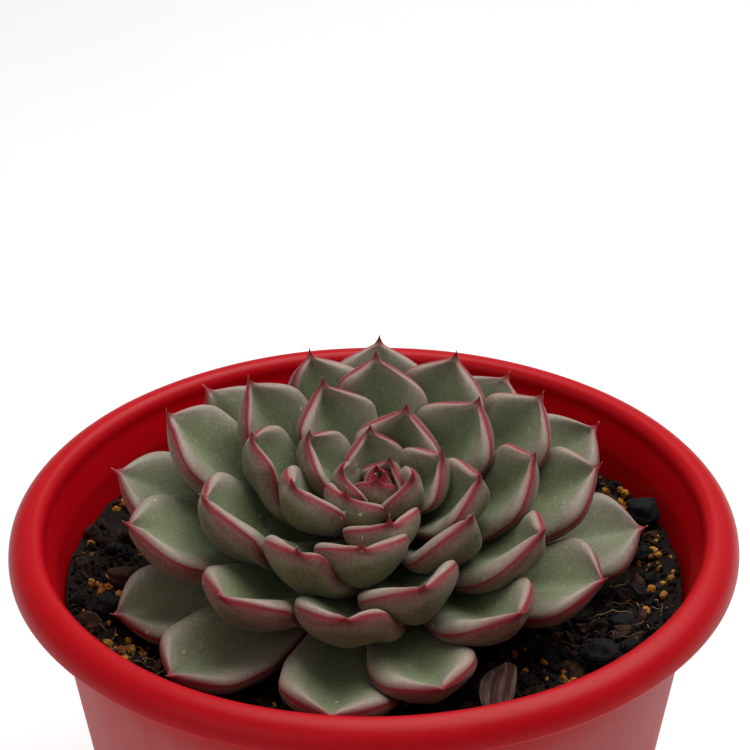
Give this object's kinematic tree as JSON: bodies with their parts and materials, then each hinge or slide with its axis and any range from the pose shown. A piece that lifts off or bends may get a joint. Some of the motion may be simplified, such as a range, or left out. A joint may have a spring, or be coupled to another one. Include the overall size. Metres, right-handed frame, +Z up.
{
  "type": "potted succulent",
  "caption": "Rosette of pointed fleshy leaves on a short stem, growing in potting mix in a round tapered nursery pot with a rolled lip; stands on a flat surface.",
  "frame": {"origin": "centre of the pot's foot, on the surface that the pot stands on", "axes": "+Z up out of the pot; -Y towards the side that the rosette leans to; +X to the right of someone who faces that side"},
  "size_m": [0.12, 0.12, 0.1175],
  "materials": {
    "pot": "satin red, thin moulded wall",
    "soil": "loose damp potting mix, matt",
    "stem": "corky, matt",
    "leaf": "waxy, chalky bloom, red edges",
    "dry_leaf": "shrivelled, matt",
    "bark": "rough",
    "lava": "porous, matt"
  },
  "bodies": {
    "root": {"pot": "pot", "soil": "soil", "stem": "stem", "leaf_01": "leaf", "leaf_02": "leaf", "leaf_03": "leaf", "leaf_04": "leaf", "leaf_05": "leaf", "leaf_06": "leaf", "leaf_07": "leaf", "leaf_08": "leaf", "leaf_09": "leaf", "leaf_10": "leaf", "leaf_11": "leaf", "leaf_12": "leaf", "leaf_13": "leaf", "leaf_14": "leaf", "leaf_15": "leaf", "leaf_16": "leaf", "leaf_17": "leaf", "leaf_18": "leaf", "leaf_19": "leaf", "leaf_20": "leaf", "leaf_21": "leaf", "leaf_22": "leaf", "leaf_23": "leaf", "leaf_24": "leaf", "leaf_25": "leaf", "leaf_26": "leaf", "leaf_27": "leaf", "leaf_28": "leaf", "leaf_29": "leaf", "leaf_30": "leaf", "leaf_31": "leaf", "leaf_32": "leaf", "leaf_33": "leaf", "leaf_34": "leaf", "leaf_35": "leaf", "leaf_36": "leaf", "leaf_37": "leaf", "leaf_38": "leaf", "leaf_39": "leaf", "leaf_40": "leaf", "leaf_41": "leaf", "leaf_42": "leaf", "leaf_43": "leaf", "leaf_44": "leaf", "leaf_45": "leaf", "leaf_46": "leaf", "leaf_47": "leaf", "leaf_48": "leaf", "leaf_49": "leaf", "leaf_50": "leaf", "leaf_51": "leaf", "dry_leaf": "dry_leaf", "bark_chip": "bark", "lava_clod_1": "lava", "lava_clod_2": "lava", "lava_clod_3": "lava", "lava_clod_4": "lava"}
  },
  "joints": []
}
